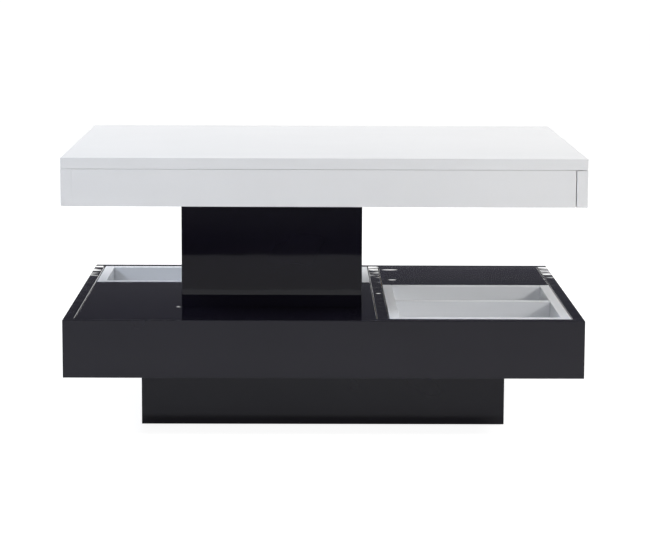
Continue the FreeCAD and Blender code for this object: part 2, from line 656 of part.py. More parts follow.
# ---------------------------------------------------------------------------
# Turning top: a hollow box under a slab that covers everything
# ---------------------------------------------------------------------------
board("top_slab", (f"-{HALF_LENGTH}", f"-{HALF_DEPTH}", SLAB_UNDERSIDE),
      (HALF_LENGTH, HALF_DEPTH, "table_height"))
board("top_left_panel", (f"-{HALF_LENGTH}", f"-{HALF_DEPTH}", TOP_UNDERSIDE),
      (f"-{INNER_X}", HALF_DEPTH, SLAB_UNDERSIDE))
board("top_right_panel", (INNER_X, f"-{HALF_DEPTH}", TOP_UNDERSIDE),
      (HALF_LENGTH, HALF_DEPTH, SLAB_UNDERSIDE))
board("top_front_apron", (f"-{INNER_X}", f"-{HALF_DEPTH}", TOP_UNDERSIDE),
      (INNER_X, f"-{INNER_Y}", SLAB_UNDERSIDE))
board("top_back_apron", (f"-{INNER_X}", INNER_Y, TOP_UNDERSIDE),
      (INNER_X, HALF_DEPTH, SLAB_UNDERSIDE))
board("top_underside", (f"-{INNER_X}", f"-{INNER_Y}", TOP_UNDERSIDE),
      (INNER_X, INNER_Y, f"({TOP_UNDERSIDE} + board)"))
strips("top_ribs", [((f"({side}rib_spread / 2 - board / 2)", f"-{INNER_Y}"),
                     (f"({side}rib_spread / 2 + board / 2)", INNER_Y)) for side in ("-", "")],
       f"({TOP_UNDERSIDE} + board)", "(top_height - 2 * board)")

# Upright tongues hold the slab to the side panels and the aprons
TOP_TONGUES = upright_tongues(HALF_LENGTH, HALF_DEPTH)
TOP_CARRIERS = {"front": "top_front_apron", "back": "top_back_apron",
                "left": "top_left_panel", "right": "top_right_panel"}
for side, plans in TOP_TONGUES.items():
    groove(TOP_CARRIERS[side], "top", plans, TONGUE_IN_EDGE)
groove("top_slab", "bottom", sum(TOP_TONGUES.values(), []), "tongue_in_face")
top_tongues = new_body("top_tongues")
add_tongues(top_tongues, "top_tongue_plan", "XY_Plane", f"({SLAB_UNDERSIDE} - {TONGUE_IN_EDGE})",
            sum(TOP_TONGUES.values(), []))

# ---------------------------------------------------------------------------
# Check every object, then write one file per sub-part
# ---------------------------------------------------------------------------
doc.recompute()
for thing in doc.Objects:
    troubles = {"Invalid", "Error"} & set(thing.State)
    if troubles:
        raise RuntimeError(f"{thing.Label} did not build: {thing.State}")

bodies = [thing for thing in doc.Objects if thing.TypeId == "PartDesign::Body"]
for body in bodies:
    if body.Shape.isNull() or not body.Shape.isValid():
        raise RuntimeError(f"{body.Label} has no sound shape")

os.makedirs("parts", exist_ok=True)
for body in bodies:
    body.Shape.exportStep(f"parts/{body.Label}.step")
    box = body.Shape.BoundBox
    print(f"{body.Label}: {len(body.Shape.Solids)} solid(s), {body.Shape.Volume / 1000:.1f} cm3, "
          f"{box.XLength:.1f} x {box.YLength:.1f} x {box.ZLength:.1f} mm")
print(f"{len(bodies)} sub-parts written")
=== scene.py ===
# %% [markdown]
# # A coffee table with a turning top
# The table is 80 cm long. A black high-gloss base stands on a set-back plinth, a hollow black
# column stands on the base, and a white box-shaped top turns on it. Two pale grey trays lift out
# of the base. The solid model of every board is loaded first and never moved. This script dresses
# it: it gives each board that shows softly rounded edges and a lacquer, and sets up a small studio
# round it. Everything is in metres, +X to the right, +Y to the back, +Z up.

# %% Load the table
import bmesh
import bpy
import json
import math
from mathutils import Matrix, Vector


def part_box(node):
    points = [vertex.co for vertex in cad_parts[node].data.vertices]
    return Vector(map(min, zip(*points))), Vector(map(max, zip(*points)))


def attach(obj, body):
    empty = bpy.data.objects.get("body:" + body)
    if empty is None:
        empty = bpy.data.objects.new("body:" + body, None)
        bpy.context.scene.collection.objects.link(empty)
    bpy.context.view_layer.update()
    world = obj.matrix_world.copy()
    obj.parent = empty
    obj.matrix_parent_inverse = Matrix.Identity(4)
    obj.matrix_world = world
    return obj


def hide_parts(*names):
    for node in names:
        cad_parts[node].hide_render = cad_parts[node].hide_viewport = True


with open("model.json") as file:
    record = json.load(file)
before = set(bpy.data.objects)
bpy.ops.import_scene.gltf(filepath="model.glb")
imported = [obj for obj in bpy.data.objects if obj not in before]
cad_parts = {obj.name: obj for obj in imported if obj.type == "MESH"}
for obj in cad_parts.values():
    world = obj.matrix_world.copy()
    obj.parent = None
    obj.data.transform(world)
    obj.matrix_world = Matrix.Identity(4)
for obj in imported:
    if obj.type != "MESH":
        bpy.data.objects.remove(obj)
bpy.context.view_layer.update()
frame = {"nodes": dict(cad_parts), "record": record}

MM = 0.001    # m

# %% [markdown]
# ## Colours
# A paint shop gives a colour as an sRGB hex number, which is how a screen shows it. Blender
# calculates with linear light, so each colour goes through one function that undoes the screen's
# curve.


# %% Hex colours to linear light
def linear(hex_colour):
    """(red, green, blue, 1) in linear light from a colour such as "#E8EAED"."""
    channels = []
    for start in (1, 3, 5):
        value = int(hex_colour[start:start + 2], 16) / 255
        channels.append(value / 12.92 if value <= 0.04045 else ((value + 0.055) / 1.055) ** 2.4)
    return (*channels, 1.0)


print("mid grey #808080 is", round(linear("#808080")[0], 3), "in linear light")

# %% [markdown]
# ## One helper for shader nodes
# A material is a small graph of nodes. One function adds a node, sets it up and connects it: an
# input that is given another node's socket is linked, and any other input is set to the value. A
# second function starts each material, with coordinates that ride with the board.


# %% Add a node and start a material
def add_node(tree, kind, inputs=None, **settings):
    """A new node; inputs maps a socket's name or number to a value or another node's socket."""
    node = tree.nodes.new(kind)
    for name, value in settings.items():
        setattr(node, name, value)
    for name, value in (inputs or {}).items():
        if isinstance(value, bpy.types.NodeSocket):
            tree.links.new(value, node.inputs[name])
        else:
            node.inputs[name].default_value = value
    return node


def new_material(name):
    """An empty material, its node tree, and the coordinates that ride with each board."""
    material = bpy.data.materials.new(name)
    material.use_nodes = True
    tree = material.node_tree
    tree.nodes.clear()
    coords = add_node(tree, "ShaderNodeTexCoord").outputs["Object"]
    return material, tree, coords


print("made the helpers", add_node.__name__, "and", new_material.__name__)

# %% [markdown]
# ## Patterns of a real size
# Most finishes here need the same three things: a noise of a real size, a colour or a roughness
# that drifts a little, and a surface that is not quite flat. Object coordinates are in metres, so a
# noise whose grains are 70 mm wide has the scale 1 / 0.070.

# %% Noise, drift and relief
NOISE_LOW = 0.3     # a noise goes from 0 to 1, but mostly lies between these two
NOISE_HIGH = 0.7


def noise(tree, coords, grain_mm, detail=2.0, stretch=(1, 1, 1)):
    """Noise with grains of about the given width; stretch lengthens them along X, Y and Z."""
    placed = add_node(tree, "ShaderNodeMapping", {
        "Vector": coords, "Scale": [1 / (grain_mm * MM * along) for along in stretch]})
    return add_node(tree, "ShaderNodeTexNoise", {
        "Vector": placed.outputs[0], "Scale": 1.0, "Detail": detail}).outputs["Fac"]


def drift(tree, factor, low, high):
    """A number, or a colour between two hex colours, that drifts from low to high with a noise."""
    is_colour = isinstance(low, str)
    limits = {} if is_colour else {"To Min": low, "To Max": high}
    spread = add_node(tree, "ShaderNodeMapRange", {
        "Value": factor, "From Min": NOISE_LOW, "From Max": NOISE_HIGH, **limits}).outputs[0]
    if not is_colour:
        return spread
    return add_node(tree, "ShaderNodeMix", {
        "Factor": spread, "A": linear(low), "B": linear(high)}, data_type="RGBA").outputs["Result"]


def relief(tree, layers):
    """The normal of a surface with layers of relief, each a height and its depth in mm."""
    normal = None
    for height, depth_mm in layers:
        inputs = {"Height": height, "Distance": depth_mm * MM, "Strength": 1.0}
        if normal is not None:
            inputs["Normal"] = normal
        normal = add_node(tree, "ShaderNodeBump", inputs).outputs[0]
    return normal


print("a noise is spread from", NOISE_LOW, "to", NOISE_HIGH)

# %% [markdown]
# ## Black high-gloss lacquer on MDF
# The base, the plinth and the column are fibreboard, sprayed with black polyester lacquer and
# polished. The eye reads it by its reflections: nearly all of what it shows is what stands round
# it, at about 3 % strength face on and far more at a flat angle. Fresh lacquer has an IOR of 1.5;
# fine wiping marks take a little of its shine, and 1.39 matches that. Two kinds of relief make it
# believable: orange peel, about 2 mm wide and polished down to almost nothing, and a slow wave of
# about 70 mm where the board shows through, which bends a reflected edge by a millimetre or two.
# The column's small boards are wavier. The narrow upper edges of the side panels and the divider
# are sanded and polished by hand. They are far wavier than the faces and fall by a millimetre
# towards their rear ends, so reflections break up into bright and dark stripes there. Where a speck
# of dust was rubbed out of the wet coat, a shallow dip stays behind and catches a small glint.

# %% Hollows and slopes in the coat
DIP_DEPTH = 0.15     # mm
DROP_START = 60      # mm behind the table's middle, where a hand-polished edge begins to fall away
DROP_END = 300


def dip(tree, coords, middle_mm, half_mm):
    """The height of a shallow round hollow with the given middle and half sizes."""
    away = add_node(tree, "ShaderNodeVectorMath", {
        0: coords, 1: [place * MM for place in middle_mm]}, operation="SUBTRACT")
    shares = add_node(tree, "ShaderNodeVectorMath", {
        0: away.outputs[0], 1: [1 / (half * MM) for half in half_mm]}, operation="MULTIPLY")
    distance = add_node(tree, "ShaderNodeVectorMath", {0: shares.outputs[0]}, operation="LENGTH")
    return add_node(tree, "ShaderNodeMapRange", {"Value": distance.outputs["Value"]},
                    interpolation_type="SMOOTHSTEP").outputs[0]


def rubbed_down(tree, coords):
    """The height of a surface that falls away towards the back, more and more steeply."""
    place = add_node(tree, "ShaderNodeSeparateXYZ", {"Vector": coords}).outputs["Y"]
    along = add_node(tree, "ShaderNodeMapRange", {
        "Value": place, "From Min": DROP_START * MM, "From Max": DROP_END * MM}).outputs[0]
    squared = add_node(tree, "ShaderNodeMath", {0: along, 1: along}, operation="MULTIPLY")
    return add_node(tree, "ShaderNodeMath", {
        0: 1.0, 1: squared.outputs[0]}, operation="SUBTRACT").outputs[0]


print("dips are", DIP_DEPTH, "mm deep")

# %% Black lacquer for faces, decks, the column and narrow edges
PEEL_DEPTH = 0.00015    # mm, what polishing leaves of the orange peel


def black_lacquer(name, wave_mm, wave_depth_mm, dips=(), drop_mm=0.0):
    """Polished black lacquer whose slow wave has the given width and depth."""
    material, tree, coords = new_material(name)
    cloud = noise(tree, coords, grain_mm=140)
    wiped = noise(tree, coords, grain_mm=60, detail=3.0, stretch=(4, 1, 1))
    layers = [(noise(tree, coords, grain_mm=2.2, detail=1.0), PEEL_DEPTH),
              (noise(tree, coords, grain_mm=wave_mm, detail=0.5), wave_depth_mm)]
    for middle_mm, half_mm in dips:
        layers.append((dip(tree, coords, middle_mm, half_mm), DIP_DEPTH))
    if drop_mm:
        layers.append((rubbed_down(tree, coords), drop_mm))
    shader = add_node(tree, "ShaderNodeBsdfPrincipled", {
        "Base Color": drift(tree, cloud, "#12101A", "#16141E"),
        "Roughness": drift(tree, wiped, 0.015, 0.035),
        "Normal": relief(tree, layers),
        "IOR": 1.39,
    })
    add_node(tree, "ShaderNodeOutputMaterial", {"Surface": shader.outputs[0]})
    return material


COAT_TOP = 187.5    # mm above the floor, in the decks' and rims' upper face
DIP_REACH = 5       # mm up and down, enough to hold the whole coat
EDGE_DIPS = [((92, -26, COAT_TOP), (6, 5, DIP_REACH))]
DECK_DIPS = [((120, 247, COAT_TOP), (18, 9, DIP_REACH)),
             ((120, 126, COAT_TOP), (9, 6, DIP_REACH)),
             ((-229, -170, COAT_TOP), (5, 4, DIP_REACH))]
gloss_black = black_lacquer("black_gloss_lacquered_mdf", 70, 0.006)
gloss_black_deck = black_lacquer("black_gloss_lacquered_mdf_deck", 70, 0.006, DECK_DIPS)
gloss_black_column = black_lacquer("black_gloss_lacquered_mdf_column", 34, 0.022)
gloss_black_edge = black_lacquer("black_gloss_lacquered_mdf_edge", 28, 0.28, EDGE_DIPS, 0.9)
print("made", gloss_black.name, "with a deck, a column and an edge variant")

# %% [markdown]
# ## White satin lacquer on MDF
# The top is sprayed with white polyurethane lacquer and left satin. It scatters nearly all light,
# so it hardly mirrors anything, even at a flat angle. The roughness is high and the specular level
# low. The colour drifts by one or two steps only, as a sprayed coat does.

# %% White satin lacquer
SATIN_PEEL = 0.004    # mm, depth of the orange peel
SATIN_WAVE = 0.03     # mm, depth of the slow wave where uneven is 1
SATIN_HAZE = 0.04     # how far the roughness swings each way where uneven is 1


def satin_lacquer(name, low_hex, high_hex, roughness, specular, uneven):
    """Sprayed satin lacquer with fine orange peel; uneven scales its slow wave and its haze."""
    material, tree, coords = new_material(name)
    cloud = noise(tree, coords, grain_mm=180)
    haze = noise(tree, coords, grain_mm=45, detail=3.0)
    swing = SATIN_HAZE * uneven
    layers = [(noise(tree, coords, grain_mm=1.8, detail=1.0), SATIN_PEEL),
              (noise(tree, coords, grain_mm=90, detail=0.5), SATIN_WAVE * uneven)]
    shader = add_node(tree, "ShaderNodeBsdfPrincipled", {
        "Base Color": drift(tree, cloud, low_hex, high_hex),
        "Roughness": drift(tree, haze, roughness - swing, roughness + swing),
        "Normal": relief(tree, layers),
        "IOR": 1.45,
        "Specular IOR Level": specular,
    })
    add_node(tree, "ShaderNodeOutputMaterial", {"Surface": shader.outputs[0]})
    return material


satin_white = satin_lacquer("white_satin_lacquered_mdf", "#E5E5E5", "#E7E7E7",
                            roughness=0.5, specular=0.1, uneven=1.0)
print("made", satin_white.name)

# %% [markdown]
# ## Pale grey satin lacquer
# The trays have the same kind of coat in a very pale cool grey, but glossier and more even. At a
# flat angle their rims mirror the bright room behind, which keeps them light under the top. Most of
# the grey that the eye sees comes from where the trays are: the top hangs over them and keeps light
# out.

# %% Pale grey satin lacquer
satin_grey = satin_lacquer("pale_grey_satin_lacquered_mdf", "#E5E7EA", "#E8EAED",
                           roughness=0.33, specular=0.5, uneven=0.15)
print("made", satin_grey.name)

# %% [markdown]
# ## Boards that stay out of sight
# Inside, nobody pays for lacquer. The bottom board and the rails are chipboard with a thin black
# melamine film, and the top's underside has a white one. The film is pressed against a finely
# grained plate, which leaves it matt with a grain of about a millimetre. The ribs and the column's
# foot and head are raw chipboard: chips of about 5 mm in several browns, pressed flat.


# %% Melamine film
def melamine(name, low_hex, high_hex):
    """Melamine film with a fine pressed grain."""
    material, tree, coords = new_material(name)
    pores = noise(tree, coords, grain_mm=0.9)
    cloud = noise(tree, coords, grain_mm=110)
    shader = add_node(tree, "ShaderNodeBsdfPrincipled", {
        "Base Color": drift(tree, cloud, low_hex, high_hex),
        "Roughness": drift(tree, pores, 0.42, 0.55),
        "Normal": relief(tree, [(pores, 0.02)]),
        "IOR": 1.5,
    })
    add_node(tree, "ShaderNodeOutputMaterial", {"Surface": shader.outputs[0]})
    return material


black_melamine = melamine("black_melamine_faced_chipboard", "#19191C", "#1E1E21")
white_melamine = melamine("white_melamine_faced_chipboard", "#E6E7E8", "#EBECED")
print("made", black_melamine.name, "and", white_melamine.name)

# %% Raw chipboard
CHIP_WIDTH = 5    # mm


def chipboard(name):
    """Pressed chips, each of its own brown, with fibres across them."""
    material, tree, coords = new_material(name)
    chips = add_node(tree, "ShaderNodeTexVoronoi", {
        "Vector": coords, "Scale": 1 / (CHIP_WIDTH * MM)})
    tone = add_node(tree, "ShaderNodeSeparateColor", {"Color": chips.outputs["Color"]}).outputs[0]
    fibres = noise(tree, coords, grain_mm=1.2, detail=4.0)
    blend = add_node(tree, "ShaderNodeMix", {
        "Factor": 0.4,
        "A": drift(tree, tone, "#A98558", "#CDAE80"),
        "B": drift(tree, fibres, "#9C7B50", "#D3B88C")}, data_type="RGBA")
    shader = add_node(tree, "ShaderNodeBsdfPrincipled", {
        "Base Color": blend.outputs["Result"],
        "Roughness": 0.8,
        "Normal": relief(tree, [(fibres, 0.15)]),
    })
    add_node(tree, "ShaderNodeOutputMaterial", {"Surface": shader.outputs[0]})
    return material


raw_chipboard = chipboard("raw_chipboard")
print("made", raw_chipboard.name)

# %% [markdown]
# ## Raw beech
# The loose tongues, the cleats and the corner blocks are beech: pinkish brown, with fine rays two
# or three millimetres long that run with the grain.


# %% Raw beech
def beech(name):
    """Planed beech whose grain runs along X."""
    material, tree, coords = new_material(name)
    grain = noise(tree, coords, grain_mm=2.5, detail=4.0, stretch=(8, 1, 1))
    rays = noise(tree, coords, grain_mm=0.8, detail=1.0, stretch=(3, 1, 1))
    tone = add_node(tree, "ShaderNodeMix", {"Factor": 0.35, "A": grain, "B": rays},
                    data_type="FLOAT").outputs["Result"]
    shader = add_node(tree, "ShaderNodeBsdfPrincipled", {
        "Base Color": drift(tree, tone, "#B98A5E", "#D6AD80"),
        "Roughness": drift(tree, rays, 0.55, 0.7),
        "Normal": relief(tree, [(grain, 0.06)]),
    })
    add_node(tree, "ShaderNodeOutputMaterial", {"Surface": shader.outputs[0]})
    return material


raw_beech = beech("raw_beech")
print("made", raw_beech.name)

# %% [markdown]
# ## Metals of the swivel fitting
# The plates, screws and bolts are steel with a bright zinc plating: a bluish grey, brushed by the
# rolling mill along the sheet, with a roughness around 0.35. The rollers and the pivot are ground
# bearing steel, smoother and brighter. A metal keeps the default IOR; its colour is what tints
# the reflection.


# %% Zinc-plated steel and bearing steel
def metal(name, low_hex, high_hex, roughness, brush_mm):
    """Brushed or ground metal with marks of the given width along X."""
    material, tree, coords = new_material(name)
    brushed = noise(tree, coords, grain_mm=brush_mm, detail=3.0, stretch=(30, 1, 1))
    bloom = noise(tree, coords, grain_mm=9)
    shader = add_node(tree, "ShaderNodeBsdfPrincipled", {
        "Base Color": drift(tree, bloom, low_hex, high_hex),
        "Metallic": 1.0,
        "Roughness": drift(tree, brushed, roughness * 0.8, roughness * 1.25),
        "Normal": relief(tree, [(brushed, 0.004)]),
    })
    add_node(tree, "ShaderNodeOutputMaterial", {"Surface": shader.outputs[0]})
    return material


zinc_steel = metal("zinc_plated_steel", "#A9ADB2", "#BCC0C4", roughness=0.35, brush_mm=0.4)
bearing_steel = metal("ground_bearing_steel", "#C2C3C5", "#CFD0D2", roughness=0.15, brush_mm=0.2)
print("made", zinc_steel.name, "and", bearing_steel.name)

# %% [markdown]
# ## Nylon and felt
# The roller cage is moulded natural nylon: milky, a little waxy, so light enters it and comes out
# again nearby. The floor pads are pressed wool felt, a matt tangle of fibres about 0.2 mm thick,
# which are drawn 0.8 mm thick so that they show at all.


# %% Natural nylon
def nylon(name):
    """Moulded milky nylon that lets light in for about a millimetre."""
    material, tree, coords = new_material(name)
    flow = noise(tree, coords, grain_mm=12)
    grain = noise(tree, coords, grain_mm=0.7)
    shader = add_node(tree, "ShaderNodeBsdfPrincipled", {
        "Base Color": drift(tree, flow, "#DEDCD2", "#E8E6DD"),
        "Roughness": drift(tree, flow, 0.38, 0.5),
        "Subsurface Weight": 0.3,
        "Subsurface Radius": (0.0012, 0.001, 0.0009),
        "Subsurface Scale": 1.0,
        "Normal": relief(tree, [(grain, 0.01)]),
        "IOR": 1.53,
    })
    add_node(tree, "ShaderNodeOutputMaterial", {"Surface": shader.outputs[0]})
    return material


natural_nylon = nylon("natural_nylon")
print("made", natural_nylon.name)


# %% Black felt
def felt(name):
    """Pressed wool fibres with a soft sheen."""
    material, tree, coords = new_material(name)
    fibres = noise(tree, coords, grain_mm=0.8, detail=5.0)
    shader = add_node(tree, "ShaderNodeBsdfPrincipled", {
        "Base Color": drift(tree, fibres, "#1C1C1E", "#38383B"),
        "Roughness": 0.95,
        "Sheen Weight": 0.4,
        "Sheen Roughness": 0.5,
        "Normal": relief(tree, [(fibres, 0.25)]),
    })
    add_node(tree, "ShaderNodeOutputMaterial", {"Surface": shader.outputs[0]})
    return material


black_felt = felt("pressed_black_felt")
print("made", black_felt.name)

# %% [markdown]
# ## A board with eased edges
# A lacquered board never has a knife edge: it is sanded to a radius of about a millimetre before
# spraying, and that small round catches a thin line of light. A cube with a bevel modifier gives
# it. The box comes from the solid model, so a board is exactly as large as there. Each edge carries
# a weight, its share of the widest round, so single edges can be sharper or rounder. The bevel has
# three segments, and weighted normals keep the big faces flat while the edge shades round.
#
# Real boards also don't meet perfectly. `slack` pulls single faces in by a millimetre or less, in
# one place by 1.3 mm, which leaves the thin dark seams between the boards of the top.

# %% Sides and corners of a board
SIDES = {"left": (0, 0), "right": (0, 1), "front": (1, 0), "back": (1, 1), "bottom": (2, 0),
         "top": (2, 1)}    # each side's axis, and 0 for its low end or 1 for its high end


def side_of(face):
    """The name of the side of the board that a face is."""
    axis = max(range(3), key=lambda a: abs(face.normal[a]))
    return next(side for side, key in SIDES.items() if key == (axis, int(face.normal[axis] > 0)))


def board_corners(node, slack):
    """The lowest and highest corner of a solid board, with some sides pulled in."""
    corners = [Vector(corner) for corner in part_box(node)]
    for side, gap_mm in slack.items():
        axis, end = SIDES[side]
        corners[end][axis] -= gap_mm * MM * (1 if end else -1)
    return corners


print("sides of a board:", ", ".join(SIDES))


# %% Mesh of a board
def edge_radius(edge, radii):
    """The radius of an edge; an upper edge may have one of its own, named for its other side."""
    sides = {side_of(face) for face in edge.link_faces}
    if "top" not in sides:
        return radii["rest"]
    (other,) = sides - {"top"}
    return radii.get(other, radii["rest"])


def board_mesh(name, corners, radii, materials):
    """A box whose edges carry their share of the widest round; a second material is its top's."""
    low, high = corners
    board = bmesh.new()
    place = Matrix.Translation((low + high) / 2) @ Matrix.Diagonal((*(high - low), 1))
    bmesh.ops.create_cube(board, matrix=place)
    board.normal_update()
    weight = board.edges.layers.float.new("bevel_weight_edge")
    for edge in board.edges:
        edge[weight] = edge_radius(edge, radii) / max(radii.values())
    for face in board.faces:
        face.smooth = True
        face.material_index = int(len(materials) > 1 and side_of(face) == "top")
    mesh = bpy.data.meshes.new(name)
    for material in materials:
        mesh.materials.append(material)
    board.to_mesh(mesh)
    board.free()
    return mesh


print("a board is a box of", len(SIDES), "faces before its edges are rounded")


# %% A board in place of its solid
def add_object(name, data):
    """A new object in the scene that holds a mesh, a lamp or a camera."""
    thing = bpy.data.objects.new(name, data)
    bpy.context.scene.collection.objects.link(thing)
    return thing


def body_of_node(node):
    """The body that a node moves with."""
    return next(body for body, members in frame["record"]["behaviour"]["bodies"].items()
                if node in members)


def eased_board(node, material, radius_mm=0.9, arris=None, slack=None, wavy_top=None):
    """A softly edged board in place of a solid one.

    arris gives the upper edges on some sides a radius of their own, in millimetres, slack pulls
    sides in by millimetres, and wavy_top is another material for the upper face.
    """
    radii = {"rest": radius_mm, **(arris or {})}
    materials = [material, wavy_top] if wavy_top else [material]
    mesh = board_mesh(f"{node}_board", board_corners(node, slack or {}), radii, materials)
    piece = add_object(f"{node}_board", mesh)
    rounding = piece.modifiers.new("eased_edges", "BEVEL")
    rounding.limit_method = "WEIGHT"
    rounding.width = max(radii.values()) * MM
    rounding.segments = 3
    rounding.material = 0
    shading = piece.modifiers.new("flat_faces_round_edges", "WEIGHTED_NORMAL")
    shading.keep_sharp = True
    shading.weight = 100
    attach(piece, body_of_node(node))
    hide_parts(node)


# %% [markdown]
# ## Plinth
# Four black boards make a ring under the base, set back so far that the base seems to float. The
# ring stands two millimetres above the floor on felt pads.

# %% Plinth boards
for side in ("front", "back", "left", "right"):
    eased_board(f"plinth_{side}", gloss_black, 0.8)

# %% [markdown]
# ## Base box
# The front and back panels run over the full length, the side panels sit between them, and a
# divider splits the base into a wide left bay and a narrow right bay. The upper edges of the side
# panels and the divider are the wavy hand-polished ones. The two decks lie flush in the bays and
# are sharper, apart from the edge along the right panel.

# %% Base panels, divider and decks
eased_board("base_front", gloss_black, 0.9, {"front": 1.3})
eased_board("base_back", gloss_black, 0.9)
eased_board("base_left", gloss_black, 0.9, {"right": 2.2}, wavy_top=gloss_black_edge)
eased_board("base_right", gloss_black, 0.9, {"left": 0.8}, wavy_top=gloss_black_edge)
eased_board("bay_divider", gloss_black, 0.5, {"left": 0.6, "right": 0.2},
            wavy_top=gloss_black_edge)
eased_board("front_left_deck", gloss_black_deck, 0.3)
eased_board("rear_right_deck", gloss_black_deck, 0.3, {"right": 0.8})

# %% [markdown]
# ## Column
# A hollow black box carries the swivel fitting. Its front and back run over the side boards.

# %% Column boards
for side in ("front", "back", "left", "right"):
    eased_board(f"column_{side}", gloss_black_column, 0.9)
column_low, column_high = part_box("column_front")
print("column is", round((column_high[2] - column_low[2]) / MM, 1), "mm tall")

# %% [markdown]
# ## Trays
# Each tray is four pale grey walls round a thin panel that sits in a groove. The right tray has a
# divider, let in flush with the rims. The panels have no edge that shows, so they keep their
# solids.

# %% Tray walls and divider
for side in ("left", "right"):
    for wall in ("left", "right", "front", "back"):
        eased_board(f"{side}_tray_{wall}", satin_grey, 1.0)
eased_board("right_tray_divider", satin_grey, 1.0)
wall_low, wall_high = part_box("left_tray_left")
print("tray walls are", round((wall_high[0] - wall_low[0]) / MM), "mm thick")

# %% [markdown]
# ## Turning top
# A slab covers everything. Under it, the side panels run from front to back and the aprons fit
# between them. The seams are not quite closed: the right panel hangs a little lower than the left
# one, and the front apron stands a little off it.

# %% Slab, side panels, aprons and underside
eased_board("top_slab", satin_white, 0.7)
eased_board("top_left_panel", satin_white, 0.4, slack={"top": 0.15})
eased_board("top_right_panel", satin_white, 0.4, slack={"top": 0.8})
eased_board("top_front_apron", satin_white, 0.4, slack={"top": 0.35, "right": 1.3})
eased_board("top_back_apron", satin_white, 0.4, slack={"top": 0.2})
eased_board("top_underside", white_melamine, 0.4)

# %% [markdown]
# ## Everything that keeps its solid
# Boards and fittings that hardly show keep the solid model's own shape and only get their
# material.

# %% Materials for the remaining solids
REMAINING = {
    black_melamine: ["plinth_cross_rail", "base_bottom", "left_deck_rail", "right_deck_rail",
                     "column_bearers"],
    raw_chipboard: ["column_foot", "column_head", "top_ribs"],
    raw_beech: ["plinth_corner_blocks", "left_deck_cleats", "right_deck_cleats", "plinth_tongues",
                "base_tongues", "column_tongues", "top_tongues"],
    zinc_steel: ["column_bolts", "swivel_lower_plate", "swivel_lower_screws",
                 "swivel_upper_plate", "swivel_upper_screws"],
    bearing_steel: ["rollers", "swivel_pivot"],
    natural_nylon: ["roller_cage"],
    black_felt: ["floor_pads"],
    satin_grey: ["left_tray_bottom", "right_tray_bottom"],
}
for material, nodes in REMAINING.items():
    for node in nodes:
        solid = frame["nodes"][node]
        solid.data.materials.clear()
        solid.data.materials.append(material)
print(sum(len(nodes) for nodes in REMAINING.values()), "solids keep their own shape")

# %% [markdown]
# ## Floor
# The floor is a large sheet of white paper. Where the camera or a reflection sees it, part of its
# light is given and not received, so it reads as white while the table's shadow still falls on it.
# A reflection gets less of that gift than the camera, so the plinth still mirrors its own shadow.

# %% White paper
GLOW_SEEN = 0.65        # share of its light that the paper gives by itself where it is seen
GLOW_MIRRORED = 0.08    # and where it is mirrored
GLOW_STRENGTH = 1.4     # how bright that light is, with plain white as 1


def paper_floor(name):
    """White paper that glows a little where it is seen or mirrored."""
    material, tree, coords = new_material(name)
    mottle = noise(tree, coords, grain_mm=300)
    paper = add_node(tree, "ShaderNodeBsdfDiffuse", {
        "Color": drift(tree, mottle, "#F4F4F5", "#F8F8F8")})
    glow = add_node(tree, "ShaderNodeEmission", {
        "Color": (1, 1, 1, 1), "Strength": GLOW_STRENGTH})
    path = add_node(tree, "ShaderNodeLightPath").outputs
    mirrored = add_node(tree, "ShaderNodeMath", {
        0: path["Is Glossy Ray"], 1: GLOW_MIRRORED}, operation="MULTIPLY")
    straight = add_node(tree, "ShaderNodeMath", {
        0: path["Is Camera Ray"], 1: path["Is Transmission Ray"]}, operation="MAXIMUM")
    share = add_node(tree, "ShaderNodeMath", {
        0: straight.outputs[0], 1: GLOW_SEEN, 2: mirrored.outputs[0]}, operation="MULTIPLY_ADD")
    mixed = add_node(tree, "ShaderNodeMixShader", {
        0: share.outputs[0], 1: paper.outputs[0], 2: glow.outputs[0]})
    add_node(tree, "ShaderNodeOutputMaterial", {"Surface": mixed.outputs[0]})
    return material


white_paper = paper_floor("white_paper")
print("made", white_paper.name)


# %% Sheet under the table
def stage_sheet(name, material, low, high):
    """A flat or upright rectangle between two corners, as part of the studio."""
    x0, y0, z0 = low
    x1, y1, z1 = high
    if z0 == z1:
        corners = [(x0, y0, z0), (x1, y0, z0), (x1, y1, z0), (x0, y1, z0)]
    else:
        corners = [(x0, y0, z0), (x1, y1, z0), (x1, y1, z1), (x0, y0, z1)]
    mesh = bpy.data.meshes.new(name)
    mesh.from_pydata(corners, [], [(0, 1, 2, 3)])
    mesh.materials.append(material)
    sheet = add_object(name, mesh)
    return sheet


FLOOR_REACH = 30.0    # m each way
stage_sheet("paper_floor", white_paper, (-FLOOR_REACH, -FLOOR_REACH, 0),
            (FLOOR_REACH, FLOOR_REACH, 0))
print("floor reaches", FLOOR_REACH, "m each way")

# %% [markdown]
# ## Black flags
# Black gloss looks grey in an all-white room, because it mirrors the room. A studio therefore hangs
# black cloth where the gloss would mirror white walls. Here a ring of cloth hangs round the set
# above 8 degrees of elevation, and a cloth lies on the floor towards the camera. Both are glowing
# sheets with set shades, so what the gloss shows of them is a painted reflection. A glowing strip
# stands low at the back: it draws painted highlights, thin bright lines on the rounded edges and
# the glints in the wavy ones. Only mirrored rays see them: the camera looks past them, and they
# take no light from the table and give it none.

# %% A glowing sheet that only reflections see
WOBBLE = 0.12     # m, how far a slow noise shifts where a sheet's painted shade fades
